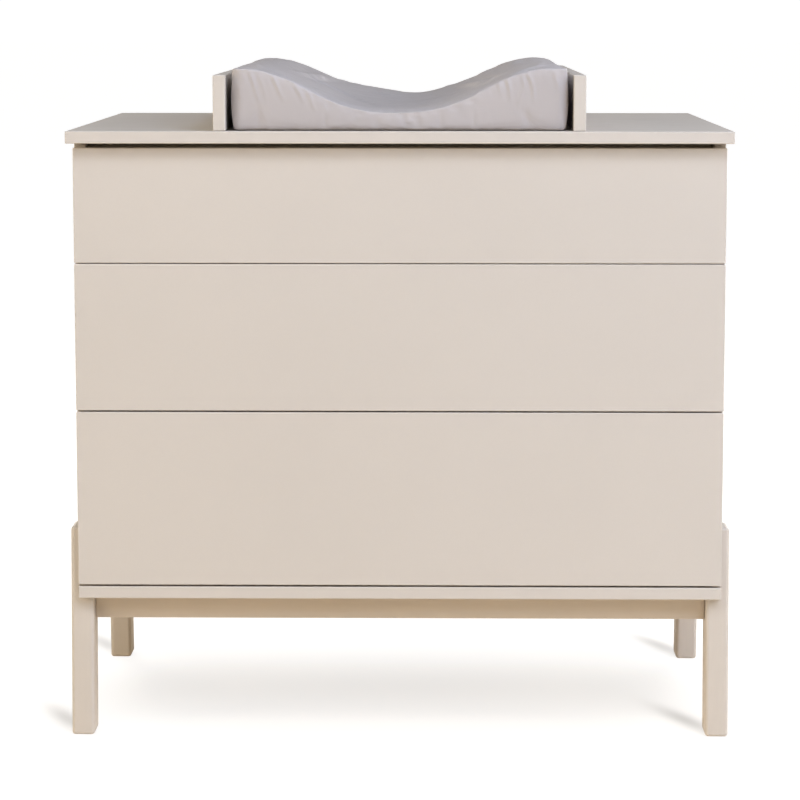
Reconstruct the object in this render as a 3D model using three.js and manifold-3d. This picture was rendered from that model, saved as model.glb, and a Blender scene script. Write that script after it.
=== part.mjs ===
// Changing table: a chest of three handle-less drawers on a rebated leg frame, with a deep top
// panel that carries a changing holder and a soft mat.
// Millimetres. +X to the user's right, -Y towards the user, +Z up, floor at z = 0.
import * as THREE from 'three';
import { mergeVertices } from 'three/addons/utils/BufferGeometryUtils.js';
import Module from 'manifold-3d';

const wasm = await Module();
wasm.setup();

// ---- driving dimensions ----
const GAP = 0.3;                 // clearance between pieces that touch
const BOARD = 18;                // thickness of the lacquered boards
const ARRIS = 1.2;               // rounding of their upright edges
const RIM = 0.8;                 // rounding of their upper and lower rims

const TOP_WIDTH = 980;
const TOP_DEPTH = 700;
const TOP_SURFACE = 910;         // height of the changing surface's board
const TOP_OVERHANG_FRONT = 15;   // top panel beyond the drawer fronts

const BODY_WIDTH = 962;
const BODY_DEPTH = 513;          // drawer fronts to the rear edges of the side panels
const BODY_BASE = 210;           // underside of the bottom panel

const LEG_WIDTH = 34;
const LEG_DEPTH = 50;
const LEG_TOP = 315;
const LEG_BESIDE = 13;           // part of the leg's width that stands outside the body
const LEG_RAKE = 18;             // how far a foot stands out from the leg's top, front and rear
const LEG_ROUND = 6;
const LEG_RIM = 4;               // rounding of its top and foot
const LEG_INSET = 5;             // rear legs' tops in front of the side panels' rear edges

const RAIL_HEIGHT = 36.5;
const RAIL_THICK = 20;
const RAIL_SETBACK = 20;         // front rail behind the legs' front faces

const FRONT_HEIGHTS = { lower: 261.5, middle: 219, upper: 170 };
const FRONT_GAPS = { lower: 2.8, middle: 2.3, upper: 1.4 };   // open gap below each front
const BOX_HEIGHTS = { lower: 200, middle: 160, upper: 112 };
const BOX_LENGTH = 450;
const BOX_WALL = 15;
const BOX_BASE = 9;
const BOX_LIFT = 20;             // box above the lower edge of its front
const BASE_LIFT = 10;            // box base above the lower edge of the box sides

const RUNNER_SPACE = 13;         // side panel to box side
const RUNNER_LENGTH = 450;
const RUNNER_SETBACK = 2;        // runner behind the front edges of the side panels
const RUNNER_LIFT = 42;          // runner's middle above the lower edge of the box sides
const SHEET = 1.3;               // runner sheet steel
const BALL_SPACE = 1.6;          // between the webs of the cabinet and middle members
const CABINET_MEMBER = { height: 45, reach: 9, shorter: 0 };
const MIDDLE_MEMBER = { height: 37, reach: 7, shorter: 2 };
const DRAWER_MEMBER = { height: 27, reach: 6.5, shorter: 1 };

const HOLDER_INSIDE = 510;
const HOLDER_HEIGHT = 82;
const HOLDER_SETBACK = 4;

const MAT_WIDTH = 495;
const MAT_LENGTH = 672;
const MAT_SETBACK = 14;          // mat behind the top panel's front edge
const MAT_VALLEY = 28;
const MAT_SHOULDER = 94;
const MAT_CREST = 215;           // half the distance between the two shoulder lines
const MAT_ROUND = 12;

// ---- planes worked out from them ----
const FRONT_EDGE = -TOP_DEPTH / 2;
const FRONT_PLANE = FRONT_EDGE + TOP_OVERHANG_FRONT;
const BODY_FRONT = FRONT_PLANE + BOARD;
const BODY_BACK = FRONT_PLANE + BODY_DEPTH;
const FLOOR_OF_BODY = BODY_BASE + BOARD;
const UNDER_TOP = TOP_SURFACE - BOARD;
const SIDE_INSIDE = BODY_WIDTH / 2 - BOARD;
const BOX_HALF = SIDE_INSIDE - RUNNER_SPACE;
const LEG_OUTSIDE = BODY_WIDTH / 2 + LEG_BESIDE;
const LEG_MIDDLE = LEG_OUTSIDE - LEG_WIDTH / 2;

// ---- materials ----
const lacquer = () => new THREE.MeshStandardMaterial({ color: 0xd7cec4, roughness: 0.45, metalness: 0 });
const birch = () => new THREE.MeshStandardMaterial({ color: 0xdcc6a2, roughness: 0.55, metalness: 0 });
const hardboard = () => new THREE.MeshStandardMaterial({ color: 0xd3cac0, roughness: 0.7, metalness: 0 });
const steel = () => new THREE.MeshStandardMaterial({ color: 0xb9bcc0, roughness: 0.35, metalness: 1 });
const cover = () => new THREE.MeshStandardMaterial({ color: 0xbdb6b7, roughness: 0.5, metalness: 0 });

const table = new THREE.Group();

/** Adds a piece under its own name. The geometry is already in the table's frame. */
function place(name, geometry, material) {
  const mesh = new THREE.Mesh(geometry, material());
  mesh.name = name;
  table.add(mesh);
}

/** Keeps only positions and merges shared corners. */
function welded(geometry) {
  geometry.deleteAttribute('normal');
  geometry.deleteAttribute('uv');
  return mergeVertices(geometry, 1e-4);
}

/** Rectangle with rounded corners, centred on the origin. */
function roundedRectangle(width, depth, radius, steps) {
  const points = [];
  for (let corner = 0; corner < 4; corner += 1) {
    const turn = corner * Math.PI / 2;
    const right = corner === 0 || corner === 3 ? 1 : -1;
    const rear = corner < 2 ? 1 : -1;
    for (let step = 0; step <= steps; step += 1) {
      const angle = turn + (step / steps) * Math.PI / 2;
      points.push(new THREE.Vector2(
        right * (width / 2 - radius) + radius * Math.cos(angle),
        rear * (depth / 2 - radius) + radius * Math.sin(angle),
      ));
    }
  }
  return new THREE.Shape(points);
}

/** Upright block of rounded plan section whose top and bottom rims are rounded too. */
function block(width, depth, height, round, rim, steps) {
  const section = roundedRectangle(width - 2 * rim, depth - 2 * rim, round - rim, steps);
  const solid = new THREE.ExtrudeGeometry(section, {
    depth: height - 2 * rim,
    bevelEnabled: true,
    bevelThickness: rim,
    bevelSize: rim,
    bevelSegments: steps,
  });
  return welded(solid.translate(0, 0, rim));
}

/** Board between two corners, with softened edges. */
function board(name, [x0, x1], [y0, y1], [z0, z1], material = lacquer) {
  const solid = block(x1 - x0, y1 - y0, z1 - z0, ARRIS, RIM, 1);
  place(name, solid.translate((x0 + x1) / 2, (y0 + y1) / 2, z0), material);
}

/** The same board on the left and on the right, given by its right-hand extent. */
function boardPair(name, [inner, outer], across, up, material = lacquer) {
  board(`${name}_left`, [-outer, -inner], across, up, material);
  board(`${name}_right`, [inner, outer], across, up, material);
}

/** Prism of a closed outline drawn in X and Z, running in Y from y0 to y1. */
function prismAlongY(points, y0, y1) {
  const shape = new THREE.Shape(points.map(([x, z]) => new THREE.Vector2(x, z)));
  const solid = new THREE.ExtrudeGeometry(shape, { depth: y1 - y0, bevelEnabled: false });
  return welded(solid.rotateX(Math.PI / 2).translate(0, y1, 0));
}

/** Prism of a closed outline drawn in Y and Z, running in X from x0 to x1. */
function prismAlongX(points, x0, x1) {
  const shape = new THREE.Shape(points.map(([y, z]) => new THREE.Vector2(y, z)));
  const solid = new THREE.ExtrudeGeometry(shape, { depth: x1 - x0, bevelEnabled: false });
  const axes = new THREE.Matrix4().set(
    0, 0, 1, x0,
    1, 0, 0, 0,
    0, 1, 0, 0,
    0, 0, 0, 1,
  );
  return welded(solid.applyMatrix4(axes));
}

function toManifold(geometry) {
  return new wasm.Manifold(new wasm.Mesh({
    numProp: 3,
    vertProperties: new Float32Array(geometry.attributes.position.array),
    triVerts: new Uint32Array(geometry.index.array),
  }));
}

function cut(geometry, tool) {
  const mesh = toManifold(geometry).subtract(toManifold(tool)).getMesh();
  const result = new THREE.BufferGeometry();
  result.setAttribute('position', new THREE.BufferAttribute(mesh.vertProperties, 3));
  result.setIndex(new THREE.BufferAttribute(mesh.triVerts, 1));
  return result;
}

// ---- body ----
function addBody() {
  const insideHeight = [FLOOR_OF_BODY + GAP, UNDER_TOP - GAP];
  const halfTop = TOP_WIDTH / 2;
  const halfBody = BODY_WIDTH / 2;
  board('top_panel', [-halfTop, halfTop], [FRONT_EDGE, -FRONT_EDGE], [UNDER_TOP, TOP_SURFACE]);
  board('bottom_panel', [-halfBody, halfBody], [FRONT_PLANE, BODY_BACK], [BODY_BASE, FLOOR_OF_BODY]);
  boardPair('side_panel', [SIDE_INSIDE, halfBody], [BODY_FRONT, BODY_BACK], insideHeight);

  const backThick = 6;
  const backInset = 4;
  const backEnd = BODY_BACK - backInset;
  const inside = [-SIDE_INSIDE + GAP, SIDE_INSIDE - GAP];
  board('back_panel', inside, [backEnd - backThick, backEnd], insideHeight, hardboard);

  const stretcherDepth = 80;
  const stretcherSetback = 20;
  const frontStart = BODY_FRONT + stretcherSetback;
  const rearEnd = backEnd - backThick - GAP;
  const level = [UNDER_TOP - GAP - BOARD, UNDER_TOP - GAP];
  board('front_stretcher', inside, [frontStart, frontStart + stretcherDepth], level);
  board('rear_stretcher', inside, [rearEnd - stretcherDepth, rearEnd], level);
}

// ---- leg frame ----
/** How far a raked leg has moved out at a height, from nothing at its top. */
const rakeAt = (z) => LEG_RAKE * (1 - z / LEG_TOP);

function legSolid(side, facing, topMiddle) {
  const leg = block(LEG_WIDTH, LEG_DEPTH, LEG_TOP, LEG_ROUND, LEG_RIM, 3);
  const lean = new THREE.Matrix4().set(
    1, 0, 0, side * LEG_MIDDLE,
    0, 1, -facing * LEG_RAKE / LEG_TOP, topMiddle + facing * LEG_RAKE,
    0, 0, 1, 0,
    0, 0, 0, 1,
  );
  leg.applyMatrix4(lean);
  const inward = LEG_OUTSIDE - LEG_BESIDE + GAP;
  const notch = new THREE.BoxGeometry(inward, TOP_DEPTH, LEG_TOP);
  notch.translate(side * inward / 2, topMiddle, BODY_BASE - GAP + LEG_TOP / 2);
  return cut(leg, welded(notch));
}

function addLegFrame() {
  const frontTop = BODY_FRONT + LEG_DEPTH / 2;
  const rearTop = BODY_BACK - LEG_INSET - LEG_DEPTH / 2;
  for (const [sideName, side] of [['left', -1], ['right', 1]]) {
    place(`front_leg_${sideName}`, legSolid(side, -1, frontTop), lacquer);
    place(`rear_leg_${sideName}`, legSolid(side, 1, rearTop), lacquer);
  }

  const railTop = BODY_BASE - GAP;
  const railBase = railTop - RAIL_HEIGHT;
  const halfSpan = LEG_OUTSIDE - LEG_WIDTH - GAP;
  const railMiddle = (railTop + railBase) / 2;
  const frontFace = frontTop - LEG_DEPTH / 2 - rakeAt(railMiddle) + RAIL_SETBACK;
  const rearFace = rearTop + LEG_DEPTH / 2 + rakeAt(railMiddle) - RAIL_SETBACK;
  const level = [railBase, railTop];
  board('front_rail', [-halfSpan, halfSpan], [frontFace, frontFace + RAIL_THICK], level);
  board('rear_rail', [-halfSpan, halfSpan], [rearFace - RAIL_THICK, rearFace], level);

  const behindFrontLeg = (z) => frontTop + LEG_DEPTH / 2 - rakeAt(z) + GAP;
  const beforeRearLeg = (z) => rearTop - LEG_DEPTH / 2 + rakeAt(z) - GAP;
  const outline = [
    [behindFrontLeg(railBase), railBase],
    [beforeRearLeg(railBase), railBase],
    [beforeRearLeg(railTop), railTop],
    [behindFrontLeg(railTop), railTop],
  ];
  place('side_rail_left', prismAlongX(outline, -halfSpan - RAIL_THICK, -halfSpan), lacquer);
  place('side_rail_right', prismAlongX(outline, halfSpan, halfSpan + RAIL_THICK), lacquer);
}

// ---- drawers ----
/** Channel-shaped runner member: its web stands at x = web and its flanges point along towards. */
function addMember(name, member, web, towards, middle) {
  const half = member.height / 2;
  const lip = web + towards * member.reach;
  const inner = web + towards * SHEET;
  const outline = [
    [web, middle - half],
    [lip, middle - half],
    [lip, middle - half + SHEET],
    [inner, middle - half + SHEET],
    [inner, middle + half - SHEET],
    [lip, middle + half - SHEET],
    [lip, middle + half],
    [web, middle + half],
  ];
  const start = BODY_FRONT + RUNNER_SETBACK + member.shorter;
  const end = BODY_FRONT + RUNNER_SETBACK + RUNNER_LENGTH - member.shorter;
  place(name, prismAlongY(towards > 0 ? outline : outline.reverse(), start, end), steel);
}

function addRunner(drawer, sideName, side, middle) {
  const name = `${drawer}_runner_${sideName}`;
  const cabinetWeb = SIDE_INSIDE - GAP;
  const middleWeb = cabinetWeb - SHEET - BALL_SPACE;
  addMember(`${name}_cabinet`, CABINET_MEMBER, side * cabinetWeb, -side, middle);
  addMember(`${name}_middle`, MIDDLE_MEMBER, side * middleWeb, -side, middle);
  addMember(`${name}_drawer`, DRAWER_MEMBER, side * (BOX_HALF + GAP), side, middle);
}

function addDrawer(drawer, base) {
  const boxBase = base + BOX_LIFT;
  const boxTop = boxBase + BOX_HEIGHTS[drawer];
  const boxStart = BODY_FRONT + GAP;
  const boxEnd = boxStart + BOX_LENGTH;
  const halfFront = BODY_WIDTH / 2;
  const frontLevel = [base, base + FRONT_HEIGHTS[drawer]];
  board(`${drawer}_drawer_front`, [-halfFront, halfFront], [FRONT_PLANE, BODY_FRONT - GAP], frontLevel);

  const innerHalf = BOX_HALF - BOX_WALL;
  const between = [-innerHalf + GAP, innerHalf - GAP];
  const sideLevel = [boxBase, boxTop];
  const wallLevel = [boxBase + BASE_LIFT + BOX_BASE + GAP, boxTop];
  boardPair(`${drawer}_box_side`, [innerHalf, BOX_HALF], [boxStart, boxEnd], sideLevel, birch);
  board(`${drawer}_box_front`, between, [boxStart, boxStart + BOX_WALL], wallLevel, birch);
  board(`${drawer}_box_back`, between, [boxEnd - BOX_WALL, boxEnd], wallLevel, birch);
  const baseLevel = [boxBase + BASE_LIFT, boxBase + BASE_LIFT + BOX_BASE];
  board(`${drawer}_box_base`, between, [boxStart, boxEnd], baseLevel, birch);

  const middle = boxBase + RUNNER_LIFT;
  addRunner(drawer, 'left', -1, middle);
  addRunner(drawer, 'right', 1, middle);
}

function addDrawers() {
  let base = FLOOR_OF_BODY;
  for (const [drawer, height] of Object.entries(FRONT_HEIGHTS)) {
    base += FRONT_GAPS[drawer];
    addDrawer(drawer, base);
    base += height;
  }
}

// ---- changing holder and mat ----
function addHolder() {
  const inner = HOLDER_INSIDE / 2;
  const along = [FRONT_EDGE + HOLDER_SETBACK, -FRONT_EDGE - HOLDER_SETBACK];
  const up = [TOP_SURFACE + GAP, TOP_SURFACE + HOLDER_HEIGHT];
  boardPair('holder_board', [inner, inner + BOARD], along, up);
}

/** Height of the mat's upper face at a distance x from its middle line. */
function matHeight(x) {
  const slope = Math.min(Math.abs(x) / MAT_CREST, 1) ** 1.3;
  const rise = (1 - Math.cos(Math.PI * slope)) / 2;
  return MAT_VALLEY + (MAT_SHOULDER - MAT_VALLEY) * rise;
}

function addMat() {
  const soft = 5;
  const half = MAT_WIDTH / 2 - soft;
  const steps = 26;
  const points = [];
  for (let step = 0; step <= steps; step += 1) {
    const x = (half - MAT_ROUND) * (1 - 2 * step / steps);
    points.push(new THREE.Vector2(x, matHeight(x) - soft));
  }
  const outline = new THREE.Shape();
  outline.moveTo(-half + MAT_ROUND, soft);
  outline.lineTo(half - MAT_ROUND, soft);
  outline.absarc(half - MAT_ROUND, soft + MAT_ROUND, MAT_ROUND, -Math.PI / 2, 0, false);
  outline.absarc(half - MAT_ROUND, MAT_SHOULDER - soft - MAT_ROUND, MAT_ROUND, 0, Math.PI / 2, false);
  points.slice(1, -1).forEach((point) => outline.lineTo(point.x, point.y));
  outline.absarc(MAT_ROUND - half, MAT_SHOULDER - soft - MAT_ROUND, MAT_ROUND, Math.PI / 2, Math.PI, false);
  outline.absarc(MAT_ROUND - half, soft + MAT_ROUND, MAT_ROUND, Math.PI, 1.5 * Math.PI, false);
  const solid = new THREE.ExtrudeGeometry(outline, {
    depth: MAT_LENGTH - 2 * soft,
    curveSegments: 2,
    bevelEnabled: true,
    bevelThickness: soft,
    bevelSize: soft,
    bevelSegments: 2,
  });
  solid.rotateX(Math.PI / 2);
  solid.translate(0, FRONT_EDGE + MAT_SETBACK + MAT_LENGTH - soft, TOP_SURFACE + GAP);
  place('changing_mat', welded(solid), cover);
}

addBody();
addLegFrame();
addDrawers();
addHolder();
addMat();

export default table;
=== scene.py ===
import math

import bpy
import bmesh
import numpy as np
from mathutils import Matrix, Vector


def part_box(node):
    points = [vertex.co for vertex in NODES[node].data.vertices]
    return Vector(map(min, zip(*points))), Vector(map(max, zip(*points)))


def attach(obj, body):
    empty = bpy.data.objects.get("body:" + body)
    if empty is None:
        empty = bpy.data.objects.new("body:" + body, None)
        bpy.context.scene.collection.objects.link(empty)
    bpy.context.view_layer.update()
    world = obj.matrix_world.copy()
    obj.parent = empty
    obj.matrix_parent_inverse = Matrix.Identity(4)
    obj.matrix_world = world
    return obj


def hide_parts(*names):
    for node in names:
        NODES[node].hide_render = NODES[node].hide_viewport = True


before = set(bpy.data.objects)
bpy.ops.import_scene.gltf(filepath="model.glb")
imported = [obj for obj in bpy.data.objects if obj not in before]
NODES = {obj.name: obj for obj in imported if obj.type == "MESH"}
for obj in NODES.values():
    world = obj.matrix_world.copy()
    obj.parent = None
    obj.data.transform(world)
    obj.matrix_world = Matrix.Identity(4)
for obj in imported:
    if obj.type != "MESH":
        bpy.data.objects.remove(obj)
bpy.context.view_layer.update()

MM = 0.001


# ---- camera ----
SENSOR = 36.0
FOCAL_WIDTHS = 3.24775                 # focal length over the image's width
CAMERA_AT = (0.0510, -4.1510, 1.0844)
CAMERA_DOWN = 0.11367                  # radians below level
CAMERA_TURN = 0.01313                  # radians to the left
CAMERA_SHIFT = -0.115                  # of the image's width, downwards


def add_camera():
    data = bpy.data.cameras.new("camera")
    data.sensor_width = SENSOR
    data.lens = SENSOR * FOCAL_WIDTHS
    data.shift_y = CAMERA_SHIFT
    camera = bpy.data.objects.new("camera", data)
    camera.location = CAMERA_AT
    camera.rotation_euler = (math.pi / 2 - CAMERA_DOWN, 0.0, CAMERA_TURN)
    bpy.context.scene.collection.objects.link(camera)
    bpy.context.scene.camera = camera


# ---- node helpers ----
# Sockets of a colour Mix node, whose names repeat for each data type.
MIX_FACTOR, MIX_FIRST, MIX_SECOND, MIX_RESULT = 0, 6, 7, 2


class Material:
    """A node material with short ways to add and join nodes."""

    def __init__(self, name):
        self.material = bpy.data.materials.new(name)
        self.material.use_nodes = True
        self.tree = self.material.node_tree
        self.shader = self.tree.nodes["Principled BSDF"]
        self.coordinates = self.add("ShaderNodeTexCoord")

    def add(self, kind, inputs=None, **settings):
        node = self.tree.nodes.new(kind)
        for key, value in settings.items():
            setattr(node, key, value)
        for key, value in (inputs or {}).items():
            self.put(node.inputs[key], value)
        return node

    def put(self, socket, value):
        if isinstance(value, bpy.types.NodeSocket):
            self.tree.links.new(value, socket)
        else:
            socket.default_value = value

    def place(self, stretch=(1, 1, 1), turn=(0, 0, 0)):
        """Coordinates of the piece in metres, scaled along each axis."""
        node = self.add("ShaderNodeMapping", {
            "Vector": self.coordinates.outputs["Object"], "Scale": stretch, "Rotation": turn})
        return node.outputs["Vector"]

    def noise(self, scale, where=None, detail=2.0, roughness=0.5, distortion=0.0):
        node = self.add("ShaderNodeTexNoise", {
            "Vector": where or self.place(), "Scale": scale, "Detail": detail,
            "Roughness": roughness, "Distortion": distortion})
        return node.outputs["Fac"]

    def span(self, value, low, high, start=0.3, end=0.7):
        """Maps a value from start..end to low..high."""
        node = self.add("ShaderNodeMapRange", {
            "Value": value, "From Min": start, "From Max": end, "To Min": low, "To Max": high})
        return node.outputs["Result"]

    def sum(self, *values, operation="ADD"):
        """Joins values pairwise with a math operation, addition unless another is named."""
        total = values[0]
        for value in values[1:]:
            total = self.add("ShaderNodeMath", {0: total, 1: value}, operation=operation).outputs[0]
        return total

    def blend(self, factor, first, second):
        node = self.add("ShaderNodeMix", data_type="RGBA")
        self.put(node.inputs[MIX_FACTOR], factor)
        self.put(node.inputs[MIX_FIRST], first)
        self.put(node.inputs[MIX_SECOND], second)
        return node.outputs[MIX_RESULT]

    def bump(self, height, distance, strength=1.0, under=None):
        node = self.add("ShaderNodeBump", {
            "Height": height, "Distance": distance, "Strength": strength})
        if under is not None:
            self.put(node.inputs["Normal"], under)
        return node.outputs["Normal"]

    def axis(self, number, output="Object"):
        """One coordinate of the piece, or one part of its normal."""
        split = self.add("ShaderNodeSeparateXYZ", {"Vector": self.coordinates.outputs[output]})
        return split.outputs[number]

    def wave(self, number, pitch):
        """Sine of a coordinate that repeats every pitch metres."""
        turn = self.sum(self.axis(number), 2 * math.pi / pitch, operation="MULTIPLY")
        return self.sum(turn, 0.0, operation="SINE")

    def finish(self, **inputs):
        """Sets the shader's sockets, whose names take _ for a space, and returns the material."""
        for key, value in inputs.items():
            self.put(self.shader.inputs[key.replace("_", " ")], value)
        return self.material


def shade(colour, factor=1.0):
    """A colour made lighter or darker, with alpha."""
    return tuple(min(1.0, channel * factor) for channel in colour[:3]) + (1.0,)


# ---- finishes ----
FLOOR = (0.92, 0.80, 0.63)
FLOOR_SEEN = 0.2                       # share of the floor's own tone that the camera sees
FLOOR_GLOW = 0.990                     # what whitens the floor for the camera alone
# Soft shadow under the body, where the floor is whitened less: middle across and along, spread
# across and along, turn in degrees, how flat the spot is across, how much less.
FLOOR_SHADES = [
    (0.0, -0.02, 0.485, 0.200, 0, 8, 0.23),
    (0.0, -0.27, 0.62, 0.27, 0, 4, 0.14),
]
# Faint shadow beside each foot: offset across and from the foot's rear edge, spread across and
# along, turn in degrees, how much less.
FOOT_SHADE = (-0.036, 0.040, 0.020, 0.085, 26, 0.34)
FOOT_DEPTH = 0.050
ROUND_SPOT = 2                         # exponent of a spot that isn't flat across
LACQUER = (0.604, 0.541, 0.470)
LEG_LACQUER = (0.596, 0.524, 0.442)
# Rails: the legs' lacquer made darker and warmer, as painted shade for the shadow that falls on
# them under the body
RAIL_LACQUER_WITH_PAINTED_SHADE = (0.600, 0.492, 0.370)
BACK_BOARD = (0.600, 0.545, 0.485)
BIRCH = (0.690, 0.530, 0.350)
BIRCH_GRAIN = (0.60, 0.43, 0.27)
PLY_END = (0.50, 0.35, 0.21)           # end grain between the paler plies
PLY_PITCH = 3.0 * MM
STEEL = (0.560, 0.570, 0.585)
COVER = (0.462, 0.416, 0.394)
THREAD_PITCH = 1.1 * MM


def lacquered_board():
    """Satin lacquer on board: slow drift of tone, faint orange peel, specks of dust nib."""
    m = Material("lacquered_board_finish")
    drift = m.span(m.noise(2.3, detail=3.0), 0.0, 1.0)
    colour = m.blend(drift, shade(LACQUER, 0.985), shade(LACQUER, 1.015))
    speck = m.span(m.noise(520.0, detail=1.0), 0.0, 0.10, 0.35, 0.75)
    colour = m.blend(speck, colour, shade(LACQUER, 0.86))
    roughness = m.sum(
        m.span(m.noise(14.0, detail=4.0), 0.40, 0.47), m.span(m.noise(240.0), -0.02, 0.02))
    peel = m.bump(m.noise(310.0, detail=2.0), 0.00010, 0.55)
    fine = m.bump(m.noise(1500.0, detail=1.0), 0.00003, 0.5, peel)
    return m.finish(Base_Color=colour, Roughness=roughness, Normal=fine,
                    Coat_Weight=0.12, Coat_Roughness=0.35, IOR=1.48)


def lacquered_wood(name, stretch, tone=LEG_LACQUER):
    """Lacquer over solid wood, where a little of the grain still shows."""
    m = Material(f"lacquered_wood_{name}")
    along = m.place(stretch)
    grain = m.noise(9.0, along, detail=5.0, roughness=0.6, distortion=0.4)
    pores = m.noise(55.0, along, detail=2.0)
    drift = m.span(m.noise(3.0, detail=2.0), 0.0, 1.0)
    colour = m.blend(drift, shade(tone, 0.985), shade(tone, 1.015))
    colour = m.blend(m.span(grain, 0.0, 0.22), colour, shade(tone, 0.90))
    roughness = m.sum(m.span(grain, 0.40, 0.48), m.span(m.noise(200.0), -0.02, 0.02))
    raised = m.bump(m.sum(grain, m.span(pores, 0.0, 0.35)), 0.00018, 0.5)
    return m.finish(Base_Color=colour, Roughness=roughness, Normal=raised,
                    Coat_Weight=0.10, Coat_Roughness=0.35, IOR=1.48)


def back_board():
    """Matt painted hardboard with short fibres under the paint."""
    m = Material("back_board_finish")
    drift = m.span(m.noise(2.6, detail=3.0), 0.0, 1.0)
    colour = m.blend(drift, shade(BACK_BOARD, 0.97), shade(BACK_BOARD, 1.02))
    fibres = m.noise(240.0, m.place((1.0, 1.0, 0.35), (0.0, 0.6, 0.0)), detail=3.0)
    colour = m.blend(m.span(fibres, 0.0, 0.25), colour, shade(BACK_BOARD, 0.88))
    normal = m.bump(fibres, 0.00022, 0.6)
    return m.finish(Base_Color=colour, Roughness=m.span(fibres, 0.58, 0.70), Normal=normal)


def drawer_birch(name, across, grain_axis):
    """Birch plywood: long grain on the faces, plies on the edges that face up."""
    m = Material(f"drawer_birch_{name}")
    stretch = [26.0, 26.0, 26.0]
    stretch[grain_axis] = 1.1
    grain = m.noise(3.2, m.place(stretch), detail=6.0, roughness=0.62, distortion=0.9)
    flame = m.noise(1.2, m.place([s * 0.35 for s in stretch]), detail=3.0, distortion=1.4)
    colour = m.blend(m.span(flame, 0.0, 1.0), shade(BIRCH, 0.94), shade(BIRCH, 1.05))
    colour = m.blend(m.span(grain, 0.0, 0.45), colour, shade(BIRCH_GRAIN))
    if across is not None:
        plies = m.span(m.wave(across, PLY_PITCH), 0.0, 1.0, -0.35, 0.35)
        end_grain = m.blend(plies, shade(PLY_END), shade(BIRCH, 1.02))
        upward = m.span(m.axis(2, "Normal"), 0.0, 1.0, 0.6, 0.8)
        colour = m.blend(upward, colour, end_grain)
    normal = m.bump(grain, 0.00020, 0.5)
    return m.finish(Base_Color=colour, Roughness=m.span(grain, 0.46, 0.60), Normal=normal,
                    Coat_Weight=0.08, Coat_Roughness=0.4)


def runner_steel():
    """Zinc-plated strip, rolled along the runner."""
    m = Material("runner_steel_finish")
    rolled = m.noise(60.0, m.place((40.0, 0.8, 40.0)), detail=3.0)
    blotch = m.span(m.noise(90.0, detail=3.0), 0.0, 1.0)
    colour = m.blend(blotch, shade(STEEL, 0.90), shade(STEEL, 1.10))
    return m.finish(Base_Color=colour, Metallic=1.0, Roughness=m.span(rolled, 0.26, 0.42),
                    Normal=m.bump(rolled, 0.00004, 0.6))


def mat_cover():
    """Coated cloth: a fine weave under a satin film, with soft blotches of tone."""
    m = Material("mat_cover_finish")
    threads = m.sum(*[m.wave(axis, THREAD_PITCH) for axis in range(3)])
    drift = m.span(m.noise(7.0, detail=3.0), 0.0, 1.0)
    colour = m.blend(drift, shade(COVER, 0.975), shade(COVER, 1.02))
    colour = m.blend(m.span(threads, 0.0, 0.10, -1.5, 1.5), colour, shade(COVER, 0.86))
    film = m.noise(38.0, detail=4.0)
    crumple = m.bump(m.noise(70.0, detail=3.0, distortion=0.5), 0.0006, 0.25)
    normal = m.bump(threads, 0.00005, 0.5, crumple)
    return m.finish(Base_Color=colour, Roughness=m.span(film, 0.44, 0.56), Normal=normal,
                    Sheen_Weight=0.03, Sheen_Roughness=0.5, Coat_Weight=0.04,
                    Coat_Roughness=0.4)


def floor_white():
    """Studio floor, white enough to run into the background."""
    m = Material("floor_paint")
    seen = m.add("ShaderNodeLightPath").outputs["Is Camera Ray"]
    drift = m.span(m.noise(0.8, detail=2.0), 0.0, 1.0)
    colour = m.blend(drift, shade(FLOOR, 0.99), shade(FLOOR, 1.01))
    colour = m.blend(seen, colour, shade(FLOOR, FLOOR_SEEN))
    shades = list(FLOOR_SHADES)
    for foot in ("front_leg_left", "front_leg_right", "rear_leg_left", "rear_leg_right"):
        low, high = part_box(foot)
        across, along, wide, deep, turn, less = FOOT_SHADE
        rear_edge = high.y if "rear" in foot else low.y + FOOT_DEPTH
        shades.append(((low.x + high.x) / 2 + across, rear_edge + along, wide, deep, turn,
                       ROUND_SPOT, less))
    glow = FLOOR_GLOW
    for across, along, wide, deep, turn, flat, less in shades:
        place = m.add("ShaderNodeMapping", {
            "Vector": m.coordinates.outputs["Object"], "Location": (across, along, 0.0),
            "Rotation": (0.0, 0.0, math.radians(turn)), "Scale": (wide, deep, 1.0)},
            vector_type="TEXTURE").outputs["Vector"]
        split = m.add("ShaderNodeSeparateXYZ", {"Vector": place}).outputs
        sideways = m.sum(m.sum(split[0], 0.0, operation="ABSOLUTE"), flat, operation="POWER")
        lengthways = m.sum(split[1], split[1], operation="MULTIPLY")
        fall = m.sum(m.sum(sideways, lengthways), -1.0, operation="MULTIPLY")
        spot = m.sum(m.sum(math.e, fall, operation="POWER"), less, operation="MULTIPLY")
        glow = m.sum(glow, spot, operation="SUBTRACT")
    return m.finish(Base_Color=colour, Roughness=0.85, Emission_Color=(1.0, 1.0, 1.0, 1.0),
                    Emission_Strength=m.sum(glow, seen, operation="MULTIPLY"))


# ---- CAD pieces ----
WELD = 0.02 * MM
EDGE_BEVEL = 0.5 * MM
RUNNER_BEVEL = 0.15 * MM
SHARP_ANGLE = math.radians(35)         # edges sharper than this are bevelled
FACE_WEIGHT = 80                       # how much large faces lead the shading


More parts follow.
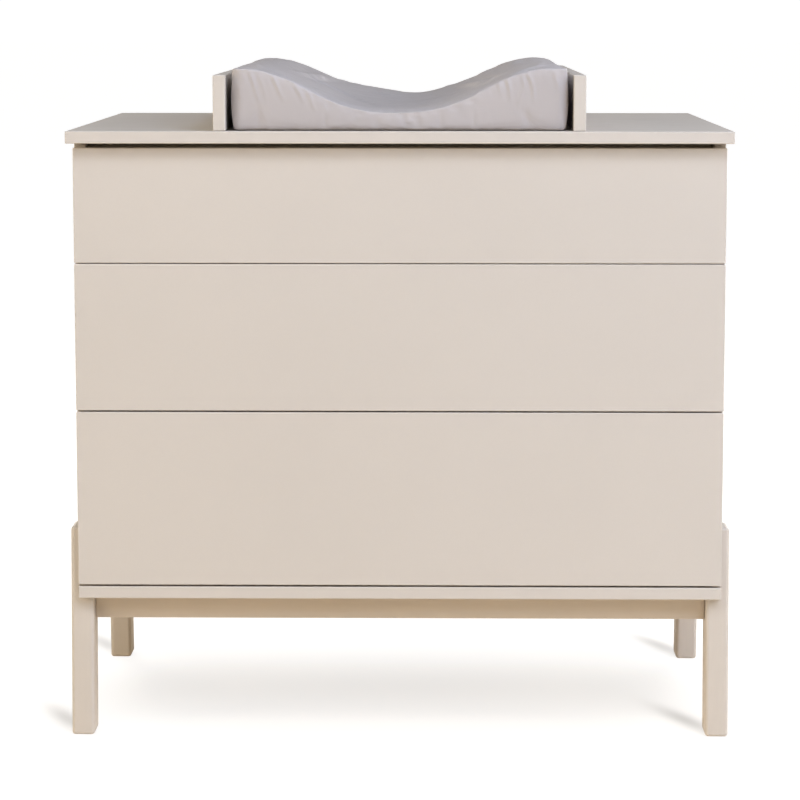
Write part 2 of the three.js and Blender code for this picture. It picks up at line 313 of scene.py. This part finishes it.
def softened(name):
    """Node group that welds an imported mesh and shades it smooth, for the bevel after it."""
    group = bpy.data.node_groups.new(name, "GeometryNodeTree")
    group.interface.new_socket("Geometry", in_out="INPUT", socket_type="NodeSocketGeometry")
    group.interface.new_socket("Geometry", in_out="OUTPUT", socket_type="NodeSocketGeometry")
    start = group.nodes.new("NodeGroupInput")
    clear = group.nodes.new("GeometryNodeRemoveAttribute")
    clear.inputs["Name"].default_value = "custom_normal"
    weld = group.nodes.new("GeometryNodeMergeByDistance")
    weld.inputs["Distance"].default_value = WELD
    smooth = group.nodes.new("GeometryNodeSetShadeSmooth")
    end = group.nodes.new("NodeGroupOutput")
    chain = [start.outputs[0], clear, weld, smooth]
    for before, after in zip(chain, chain[1:]):
        out = before if isinstance(before, bpy.types.NodeSocket) else before.outputs[0]
        group.links.new(out, after.inputs["Geometry"])
    group.links.new(smooth.outputs[0], end.inputs[0])
    return group


def dress_nodes():
    """Gives every CAD node its finish and softer edges. The grain runs along x, y or z."""
    lacquer, back, steel, cover = lacquered_board(), back_board(), runner_steel(), mat_cover()
    # The rails' finishes carry painted shade: a darker, warmer tone than the legs' for the shadow
    # under the body.
    grain = {0: lacquered_wood("along_x_painted_shade", (1.2, 30.0, 30.0), RAIL_LACQUER_WITH_PAINTED_SHADE),
             1: lacquered_wood("along_y_painted_shade", (30.0, 1.2, 30.0), RAIL_LACQUER_WITH_PAINTED_SHADE),
             2: lacquered_wood("along_z", (30.0, 30.0, 1.2))}
    plies = {"side": drawer_birch("side", 0, 1), "cross": drawer_birch("cross", 1, 0),
             "base": drawer_birch("base", None, 0)}
    group = softened("weld_and_smooth")
    for name, node in NODES.items():
        finish = lacquer
        if "leg" in name:
            finish = grain[2]
        elif "side_rail" in name:
            finish = grain[1]
        elif "rail" in name:
            finish = grain[0]
        elif "runner" in name:
            finish = steel
        elif "box" in name:
            kind = "side" if "side" in name else "base" if "base" in name else "cross"
            finish = plies[kind]
        elif name == "back_panel":
            finish = back
        elif name == "changing_mat":
            finish = cover
        node.material_slots[0].material = finish
        weld = node.modifiers.new("weld", "NODES")
        weld.node_group = group
        bevel = node.modifiers.new("soft_edges", "BEVEL")
        bevel.width = RUNNER_BEVEL if "runner" in name else EDGE_BEVEL
        bevel.segments = 2
        bevel.limit_method = "ANGLE"
        bevel.angle_limit = SHARP_ANGLE
        normals = node.modifiers.new("even_shading", "WEIGHTED_NORMAL")
        normals.keep_sharp = False
        normals.weight = FACE_WEIGHT


# ---- runner screws ----
RUNNER_SHEET = 1.3 * MM
SCREW_SHARES = (0.07, 0.36, 0.65, 0.94)          # along the drawer member
SCREW_SIDES = 18
SCREW_BEVEL = 0.12 * MM
# Pan head with a socket: radius and height above the sheet in mm, from the rim to the socket's
# floor.
SCREW_PROFILE = [(3.4, 0.0), (3.4, 0.5), (3.0, 1.1), (2.1, 1.55), (1.3, 1.65), (1.1, 0.8)]


def screw_head(centre, out, first):
    """Vertices of a screw head, and its faces for vertices numbered from first. It faces along
    x, towards out."""
    points, faces = [], []
    for radius, height in SCREW_PROFILE:
        for k in range(SCREW_SIDES):
            turn = 2 * math.pi * k / SCREW_SIDES
            points.append(centre + MM * Vector(
                (out * height, radius * math.cos(turn), radius * math.sin(turn))))
    rings = [first + i * SCREW_SIDES for i in range(len(SCREW_PROFILE))]
    faces.append([rings[0] + k for k in range(SCREW_SIDES)][::-out])
    faces.append([rings[-1] + k for k in range(SCREW_SIDES)][::out])
    for under, over in zip(rings, rings[1:]):
        for k in range(SCREW_SIDES):
            n = (k + 1) % SCREW_SIDES
            faces.append([under + k, under + n, over + n, over + k][::out])
    return points, faces


def add_runner_screws():
    """Screw heads in the drawer members, which show once a drawer is open."""
    for drawer in ("lower", "middle", "upper"):
        for side, out in (("left", -1), ("right", 1)):
            low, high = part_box(f"{drawer}_runner_{side}_drawer")
            web = (high.x - RUNNER_SHEET) if out < 0 else (low.x + RUNNER_SHEET)
            points, faces = [], []
            for share in SCREW_SHARES:
                centre = Vector((web, low.y + share * (high.y - low.y), (low.z + high.z) / 2))
                more_points, more_faces = screw_head(centre, out, len(points))
                points += more_points
                faces += more_faces
            mesh = bpy.data.meshes.new(f"{drawer}_runner_{side}_screws")
            mesh.from_pydata([tuple(point) for point in points], [], faces)
            mesh.materials.append(bpy.data.materials["runner_steel_finish"])
            piece = bpy.data.objects.new(mesh.name, mesh)
            bpy.context.scene.collection.objects.link(piece)
            bevel = piece.modifiers.new("soft_edges", "BEVEL")
            bevel.width = SCREW_BEVEL
            bevel.limit_method = "ANGLE"
            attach(piece, f"{drawer}_drawer")


# ---- mat ----
MAT_LOW, MAT_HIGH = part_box("changing_mat")
MAT_TUCK = 2.0 * MM                    # start shape inside its final sides
MAT_CORNER = 11.0 * MM                 # rounding between the end and side panels, seen from above
MAT_HEM = 8.0 * MM                     # how far the base is set in from the sides
WALL_LEVELS = (0.93, 0.85, 0.76, 0.66, 0.56, 0.46, 0.36, 0.26, 0.17)     # shares of the height
# Levels of the hem above the base, and how far the cover has turned in there.
HEM_LEVELS = [(2.6 * MM, 0.1 * MM), (2.1 * MM, 2.2 * MM)]
VALLEY, SHOULDER = 26.2 * MM, 90.2 * MM          # heights of the seam above the base
CREST = 222.0 * MM                     # from the valley's middle to the shoulder
VALLEY_AT = -5.0 * MM
VALLEY_SHAPE = 1.25                    # above 1, the valley is flatter and its sides are steeper
CORNER_ROWS, STRAIGHT_ROWS = 5, 84     # rows of quads in a corner's rounding and between corners
SIDE_COLUMNS, MIDDLE_COLUMNS = 38, 31  # columns on each raised side and in the middle
MIDDLE_SHARE = 0.45                    # of the half width
SWELL_CAP = 3.2 * MM                   # farthest a point may move while the cover fills
WALL_CAP = 1.3 * MM                    # the same on the end and side panels, which are taut
CLOTH_FRAMES = 20
CLOTH = {"quality": 5, "mass": 0.25, "tension_stiffness": 12.0, "compression_stiffness": 12.0,
         "shear_stiffness": 4.0, "bending_stiffness": 0.4, "use_pressure": True,
         "uniform_pressure_force": 4.0, "shrink_min": -0.02}
SEAM_CREASE = 0.75                     # how sharp the subdivision keeps the seam

# The rear end stands higher than the front end: everywhere, more on the slopes, and at humps, each
# with its place across, spread and height. All in mm.
REAR_LIFT, SLOPE_LIFT = 2.5, 2.0
REAR_HUMPS = [(-52, 62, 9.6), (72, 32, 3.0)]
LIFT_ALONG = (-0.12, 0.32)             # where the lift begins and is complete, in metres
CROWN = 2.0 * MM                       # rise of the upper panel above its seam
CROWN_FROM_END, CROWN_FROM_SIDE = 0.022, 0.014     # metres over which it builds up
END_BULGE, MORE_BULGE = 0.6, 0.7       # of the end panels, and how much more of the sides, in mm
BULGE_SHAPE = 0.8
# Creases on the front panel below its seam: points (across, above the base) and depth, in mm. The
# rear panel has them too, less deep.
FRONT_CREASES = [
    ([(-220, 87), (-214, 71), (-211, 58), (-206, 45), (-201, 34)], 1.1),
    ([(-208, 86), (-204, 77), (-198, 60), (-194, 40)], 0.6),
    ([(-187, 81), (-180, 68), (-175, 55), (-168, 43)], 1.5),
    ([(-154, 67), (-146, 55), (-140, 41)], 1.3),
    ([(-136, 57), (-131, 51), (-127, 38), (-122, 27)], 0.9),
    ([(143, 73), (146, 68), (149, 52)], 1.1),
    ([(157, 77), (160, 68), (162, 57), (163, 43)], 1.5),
    ([(179, 83), (183, 66), (178, 55), (175, 43), (177, 32)], 0.8),
    ([(186, 84), (192, 76), (196, 62), (197, 40)], 1.5),
    ([(226, 88), (231, 70), (234, 55)], 0.9),
]
CREASE_WIDTH = 2.8                     # mm
HOLLOW_AT, HOLLOW_WIDTH = 4.8, 3.2     # hollow on one side of a crease, mm
HOLLOW = 0.5                           # its depth, as a share of the crease's height
REAR_CREASES = 0.7
# Folds on the upper panel: points (across, along from the middle), height and width, in mm.
TOP_FOLDS = [
    ([(-150, 60), (-136, 10), (-104, -15), (-78, -45), (-58, -100), (-34, -185), (-17, -265)],
     2.6, 8),
    ([(-176, -130), (-164, -60), (-148, 45), (-128, 190), (-112, 275)], 2.2, 10),
    ([(-66, 150), (-37, 130), (-5, 105), (20, 92)], 1.8, 8),
    ([(-236, -235), (-205, -262), (-185, -280), (-168, -240)], 1.4, 9),
    ([(-205, 40), (-190, 120), (-182, 210), (-190, 280)], 1.4, 11),
    ([(92, 200), (104, 80), (118, -25), (130, -130), (155, -160), (180, -205)], 2.4, 9),
    ([(66, -60), (90, -62), (112, -110), (127, -185), (150, -250)], 1.8, 8),
    ([(22, 20), (48, -12), (76, -42)], 1.5, 8),
    ([(170, 250), (182, 150), (176, 40), (186, -60)], 1.7, 10),
    ([(-40, 240), (-20, 180), (14, 170)], 1.2, 9),
    ([(212, -290), (204, -210), (218, -120)], 1.2, 9),
    ([(140, 300), (128, 240), (137, 180)], 1.1, 8),
]
# How steeply a vertex faces the end or the top, from where a crease or fold starts to show on it
# to where it shows in full.
ON_END, ON_TOP = (0.55, 0.9), (0.35, 0.7)
# Random folds: how many, seed, places across and along, lengths, heights and widths in mm. Most
# run nearly along the mat, and the others slant outwards.
SMALL_FOLDS, SMALL_FOLD_SEED = 34, 11
FOLD_ACROSS, FOLD_ALONG = (40, 225), (-310, 310)
FOLD_LENGTHS, FOLD_HEIGHTS, FOLD_WIDTHS = (45, 130), (0.35, 0.95), (5, 9)
FOLD_WANDER, FOLD_SLANT, FOLD_BEND = 0.28, 0.9, 7      # radians, radians, mm
NEARLY_ALONG = 0.75                    # share of them
FOLD_HOLLOW_AT = 1.9                   # hollows on both sides of a fold, in fold widths
FOLD_HOLLOW = 0.55


def vertices_of(mesh, attribute="co"):
    """Places of a mesh's vertices as rows of an array, or their normals."""
    values = np.empty(len(mesh.vertices) * 3, np.float32)
    mesh.vertices.foreach_get(attribute, values)
    return values.reshape(-1, 3).astype(float)


def smooth_step(value, low, high):
    """Rises smoothly from 0 at low to 1 at high."""
    t = np.clip((value - low) / (high - low), 0.0, 1.0)
    return t * t * (3 - 2 * t)


def seam_height(x, y):
    """Height of the mat's upper seam above its base."""
    rise = np.minimum(np.abs(x - VALLEY_AT) / CREST, 1.0) ** VALLEY_SHAPE
    level = VALLEY + (SHOULDER - VALLEY) * (1.0 - np.cos(np.pi * rise)) / 2.0
    lift = REAR_LIFT + SLOPE_LIFT * rise * (1 - rise)
    for middle, spread, height in REAR_HUMPS:
        lift = lift + height * np.exp(-((x / MM - middle) / spread) ** 2)
    return level + lift * MM * smooth_step(y, *LIFT_ALONG)


def mat_panels():
    """Start shape of the cover as closed panels. Returns its vertices about the base's middle, its
    quads, and the numbers of the vertices along the upper seam and on the base."""
    half = Vector(((MAT_HIGH.x - MAT_LOW.x) / 2 - MAT_TUCK,
                   (MAT_HIGH.y - MAT_LOW.y) / 2 - MAT_TUCK))
    arc = MAT_CORNER * np.sin(np.linspace(0.0, np.pi / 2, CORNER_ROWS + 1)[1:])
    straight = half.y - MAT_CORNER
    rows = np.concatenate([-straight - arc[::-1], np.linspace(-straight, straight, STRAIGHT_ROWS),
                           straight + arc])
    over = np.maximum(np.abs(rows) - straight, 0.0)
    widths = half.x - MAT_CORNER + np.sqrt(np.maximum(MAT_CORNER ** 2 - over ** 2, 0.0))
    shares = np.concatenate([
        np.linspace(-1, -MIDDLE_SHARE, SIDE_COLUMNS),
        np.linspace(-MIDDLE_SHARE, MIDDLE_SHARE, MIDDLE_COLUMNS + 2)[1:-1],
        np.linspace(MIDDLE_SHARE, 1, SIDE_COLUMNS)])
    columns, count = len(shares), len(rows)
    x = widths[:, None] * shares[None, :]
    y = np.repeat(rows[:, None], columns, 1)
    from_end = np.maximum(half.y - np.abs(y), 0.0)
    from_side = np.maximum(widths[:, None] - np.abs(x), 0.0)
    crown = (1 - np.exp(-from_end / CROWN_FROM_END)) * (1 - np.exp(-from_side / CROWN_FROM_SIDE))
    z = seam_height(x, y) + CROWN * crown
    top = np.stack([x, y, z], -1).reshape(-1, 3)
    hem = 1.0 - MAT_HEM / np.array([half.x, half.y])
    base = np.concatenate([top[:, :2] * hem, np.zeros((len(top), 1))], 1)

    at = np.arange(columns * count).reshape(count, columns)
    ring = np.concatenate([at[0, :], at[1:, -1], at[-1, -2::-1], at[-2:0:-1, 0]])
    edge = top[ring]
    along = np.roll(edge, -1, 0)[:, :2] - np.roll(edge, 1, 0)[:, :2]
    out = np.stack([along[:, 1], -along[:, 0]], -1)
    out /= np.linalg.norm(out, axis=1, keepdims=True)
    walls = []
    for level in WALL_LEVELS:
        height = edge[:, 2] * level
        bulge = (END_BULGE + MORE_BULGE * np.abs(out[:, 0])) * MM
        bulge = bulge * math.sin(math.pi * level) ** BULGE_SHAPE
        side = edge[:, :2] + out * bulge[:, None]
        walls.append(np.concatenate([side, height[:, None]], 1))
    for height, tuck in HEM_LEVELS:
        side = edge[:, :2] - out * tuck
        walls.append(np.concatenate([side, np.full((len(edge), 1), height)], 1))
    points = np.concatenate([top, base] + walls)

    quads = []
    lower = len(top)
    for j in range(count - 1):
        for i in range(columns - 1):
            a, b, c, d = at[j, i], at[j, i + 1], at[j + 1, i + 1], at[j + 1, i]
            quads += [(a, b, c, d), (lower + d, lower + c, lower + b, lower + a)]
    size = len(ring)
    loops = [ring] + [2 * lower + k * size + np.arange(size) for k in range(len(walls))]
    loops.append(lower + ring)
    for upper, under in zip(loops, loops[1:]):
        for i in range(size):
            n = (i + 1) % size
            quads.append((upper[i], under[i], under[n], upper[n]))
    quads = [tuple(int(v) for v in quad) for quad in quads]
    return points, quads, ring, lower + np.arange(lower)


def fill_cover(piece, held, panel_end):
    """Fills the cover by a cloth simulation with air pressure, where the held vertices stay put.
    Returns the vertices with their travel capped. The upper panel's vertices are those before
    panel_end."""
    start = vertices_of(piece.data)
    group = piece.vertex_groups.new(name="held")
    group.add([int(v) for v in held], 1.0, "REPLACE")
    cloth = piece.modifiers.new("cloth", "CLOTH")
    for key, value in CLOTH.items():
        setattr(cloth.settings, key, value)
    cloth.settings.vertex_group_mass = group.name
    cloth.settings.effector_weights.gravity = 0.0
    scene = bpy.context.scene
    for step in range(1, CLOTH_FRAMES + 1):
        scene.frame_set(step)
    graph = bpy.context.evaluated_depsgraph_get()
    swollen = vertices_of(piece.evaluated_get(graph).data)
    piece.modifiers.remove(cloth)
    piece.vertex_groups.remove(group)
    scene.frame_set(1)
    travel = swollen - start
    length = np.linalg.norm(travel, axis=1, keepdims=True) + 1e-12
    cap = np.where(np.arange(len(start)) < panel_end, SWELL_CAP, WALL_CAP)[:, None]
    return start + travel / length * cap * np.tanh(length / cap)


def from_line(points, line):
    """Signed distance of 2-D points from a polyline, and the share of its length passed there. The
    distance is positive to the right of the polyline."""
    line = np.array(line, float)
    lengths = np.linalg.norm(np.diff(line, axis=0), axis=1)
    total, passed = lengths.sum(), 0.0
    best = np.full(len(points), np.inf)
    signed, share = best.copy(), np.zeros(len(points))
    for (start, end), length in zip(zip(line, line[1:]), lengths):
        way = (end - start) / length
        to = points - start
        t = np.clip(to @ way, 0.0, length)
        gap = to - t[:, None] * way
        distance = np.linalg.norm(gap, axis=1)
        nearer = distance < best
        cross = gap[:, 0] * way[1] - gap[:, 1] * way[0]
        best[nearer] = distance[nearer]
        signed[nearer] = (np.sign(cross) * distance)[nearer]
        share[nearer] = ((passed + t) / total)[nearer]
        passed += length
    return signed, share


def small_folds():
    """Random folds beside the drawn ones, mostly along the mat."""
    rng = np.random.default_rng(SMALL_FOLD_SEED)
    folds = []
    for _ in range(SMALL_FOLDS):
        side = rng.choice((-1, 1))
        start = np.array([side * rng.uniform(*FOLD_ACROSS), rng.uniform(*FOLD_ALONG)])
        way = rng.normal(0, FOLD_WANDER)
        way += 0 if rng.random() < NEARLY_ALONG else side * FOLD_SLANT
        run = rng.uniform(*FOLD_LENGTHS) * np.array([math.sin(way), math.cos(way)])
        bend = rng.normal(0, FOLD_BEND, 2)
        folds.append(([start, start + run / 2 + bend, start + run],
                      rng.uniform(*FOLD_HEIGHTS), rng.uniform(*FOLD_WIDTHS)))
    return folds


def crease_heights(points, normals):
    """How far each of the cover's vertices moves along its normal for the creases and folds."""
    flat = points / MM
    moved = np.zeros(len(points))
    for facing, share_kept in ((-1, 1.0), (1, REAR_CREASES)):
        on_end = smooth_step(normals[:, 1] * facing, *ON_END)
        chosen = on_end > 0
        for line, depth in FRONT_CREASES:
            mirrored = [(-facing * px, pz) for px, pz in line]
            gap, share = from_line(flat[chosen][:, [0, 2]], mirrored)
            if facing > 0:
                gap = -gap
            fade = smooth_step(share, -0.04, 0.16) * (1 - share) ** 0.7
            ridge = np.exp(-(gap / CREASE_WIDTH) ** 2)
            ridge -= HOLLOW * np.exp(-((gap - HOLLOW_AT) / HOLLOW_WIDTH) ** 2)
            moved[chosen] += share_kept * depth * MM * fade * ridge * on_end[chosen]

    on_top = smooth_step(normals[:, 2], *ON_TOP)
    chosen = on_top > 0
    plan = flat[chosen][:, :2]
    for line, height, width in TOP_FOLDS + small_folds():
        gap, share = from_line(plan, line)
        fade = np.sin(np.pi * np.clip(share, 0.02, 0.98)) ** 0.6
        ridge = np.exp(-(gap / width) ** 2)
        ridge -= FOLD_HOLLOW * np.exp(-((np.abs(gap) - FOLD_HOLLOW_AT * width) / width) ** 2)
        moved[chosen] += height * MM * fade * ridge * on_top[chosen]
    return moved


def add_mat():
    """The cushion: filled cover, then one subdivision, then creases and folds."""
    points, quads, seam, base = mat_panels()
    mesh = bpy.data.meshes.new("mat_cushion")
    mesh.from_pydata(points.tolist(), [], quads)
    piece = bpy.data.objects.new("mat_cushion", mesh)
    bpy.context.scene.collection.objects.link(piece)
    points = fill_cover(piece, np.concatenate([seam, base]), len(base))
    mesh.vertices.foreach_set("co", points.astype(np.float32).ravel())

    shape = bmesh.new()
    shape.from_mesh(mesh)
    shape.verts.ensure_lookup_table()
    layer = shape.edges.layers.float.new("crease_edge")
    for a, b in zip(seam, np.roll(seam, -1)):
        edge = shape.edges.get((shape.verts[int(a)], shape.verts[int(b)]))
        edge[layer] = SEAM_CREASE
    shape.to_mesh(mesh)
    shape.free()
    finer = piece.modifiers.new("finer", "SUBSURF")
    finer.levels = finer.render_levels = 1
    graph = bpy.context.evaluated_depsgraph_get()
    fine = bpy.data.meshes.new_from_object(piece.evaluated_get(graph))
    piece.modifiers.remove(finer)
    piece.data = fine
    bpy.data.meshes.remove(mesh)
    fine.name = "mat_cushion"

    dense = vertices_of(fine)
    normals = vertices_of(fine, "normal")
    dense += normals * crease_heights(dense, normals)[:, None]
    dense += np.array([(MAT_LOW.x + MAT_HIGH.x) / 2, (MAT_LOW.y + MAT_HIGH.y) / 2, MAT_LOW.z])
    fine.vertices.foreach_set("co", dense.astype(np.float32).ravel())
    fine.shade_smooth()
    fine.materials.clear()
    fine.materials.append(bpy.data.materials["mat_cover_finish"])
    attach(piece, "mat")
    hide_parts("changing_mat")


# ---- light and floor ----
BACKDROP = 1.04                        # what the camera sees of the sky, all round
SKY = ((0.19, 0.13, 0.06), (0.03, 0.03, 0.03))     # light from near the horizon, from above it
SKY_FADE = (0.20, 0.40)                # heights on the unit sphere where one gives way to the other
LIGHT_CENTRE = (0.0, -0.3, 0.55)
LIGHT_REACH = 4.6
FLOOR_REACH = 90.0
# Softboxes: bearing from the front and elevation in degrees, width and height, watts, colour.
SOFTBOXES = {
    "high_left": (-40, 55, 1.8, 1.2, 45, (0.96, 1.00, 1.00)),
    "high_right": (40, 55, 1.8, 1.2, 72, (0.88, 1.02, 1.30)),
    "high_front": (0, 55, 1.8, 1.2, 25, (0.92, 1.00, 1.20)),
    "middle_left": (-40, 32, 1.8, 1.2, 4, (1.00, 1.00, 0.98)),
    "middle_right": (40, 32, 1.8, 1.2, 58, (0.88, 1.02, 1.36)),
    "low_left": (-60, 12, 1.6, 0.8, 38, (1.07, 0.97, 0.82)),
    "low_right": (70, 7, 1.6, 0.8, 11, (0.98, 1.01, 1.10)),
    "side_left": (-71, 20, 1.8, 1.4, 42, (1.06, 0.98, 0.86)),
    "side_right": (80, 22, 1.8, 1.4, 74, (1.00, 1.03, 1.08)),
    "rear_left": (-150, 15, 1.8, 1.2, 48, (1.04, 1.00, 0.96)),
    "rear_right": (150, 15, 1.8, 1.2, 54, (1.02, 1.00, 0.98)),
}


def add_softbox(name, bearing, elevation, width, height, power, colour):
    """An area light that faces the studio's centre."""
    data = bpy.data.lights.new(name, "AREA")
    data.shape = "RECTANGLE"
    data.size, data.size_y = width, height
    data.energy = power
    data.color = colour
    light = bpy.data.objects.new(name, data)
    turn, rise = math.radians(bearing), math.radians(elevation)
    away = Vector((math.sin(turn) * math.cos(rise), -math.cos(turn) * math.cos(rise),
                   math.sin(rise)))
    light.location = Vector(LIGHT_CENTRE) + away * LIGHT_REACH
    light.rotation_euler = away.to_track_quat("Z", "Y").to_euler()
    bpy.context.scene.collection.objects.link(light)


def add_sky():
    """A dim sky that lights the piece, behind a white backdrop that only the camera sees."""
    world = bpy.data.worlds.new("studio")
    bpy.context.scene.world = world
    world.use_nodes = True
    tree = world.node_tree
    coordinates = tree.nodes.new("ShaderNodeTexCoord")
    split = tree.nodes.new("ShaderNodeSeparateXYZ")
    height = tree.nodes.new("ShaderNodeMapRange")
    height.interpolation_type = "SMOOTHSTEP"
    height.inputs["From Min"].default_value = SKY_FADE[0]
    height.inputs["From Max"].default_value = SKY_FADE[1]
    ends = tree.nodes.new("ShaderNodeMix")
    ends.data_type = "RGBA"
    ends.inputs[MIX_FIRST].default_value = (*SKY[0], 1.0)
    ends.inputs[MIX_SECOND].default_value = (*SKY[1], 1.0)
    seen = tree.nodes.new("ShaderNodeMix")
    seen.data_type = "RGBA"
    seen.inputs[MIX_SECOND].default_value = (BACKDROP, BACKDROP, BACKDROP, 1.0)
    path = tree.nodes.new("ShaderNodeLightPath")
    background = tree.nodes["Background"]
    for out, into in ((coordinates.outputs["Generated"], split.inputs[0]),
                      (split.outputs["Z"], height.inputs["Value"]),
                      (height.outputs["Result"], ends.inputs[MIX_FACTOR]),
                      (ends.outputs[MIX_RESULT], seen.inputs[MIX_FIRST]),
                      (path.outputs["Is Camera Ray"], seen.inputs[MIX_FACTOR]),
                      (seen.outputs[MIX_RESULT], background.inputs["Color"])):
        tree.links.new(out, into)


def add_studio():
    """Sky, lights and floor."""
    add_sky()
    for name, softbox in SOFTBOXES.items():
        add_softbox(name, *softbox)

    mesh = bpy.data.meshes.new("floor")
    corners = [(x * FLOOR_REACH, y * FLOOR_REACH, 0)
               for x, y in ((-1, -1), (1, -1), (1, 1), (-1, 1))]
    mesh.from_pydata(corners, [], [(0, 1, 2, 3)])
    floor = bpy.data.objects.new("floor", mesh)
    mesh.materials.append(floor_white())
    bpy.context.scene.collection.objects.link(floor)
    bpy.context.scene.view_settings.view_transform = "Standard"


add_camera()
dress_nodes()
add_runner_screws()
add_mat()
add_studio()
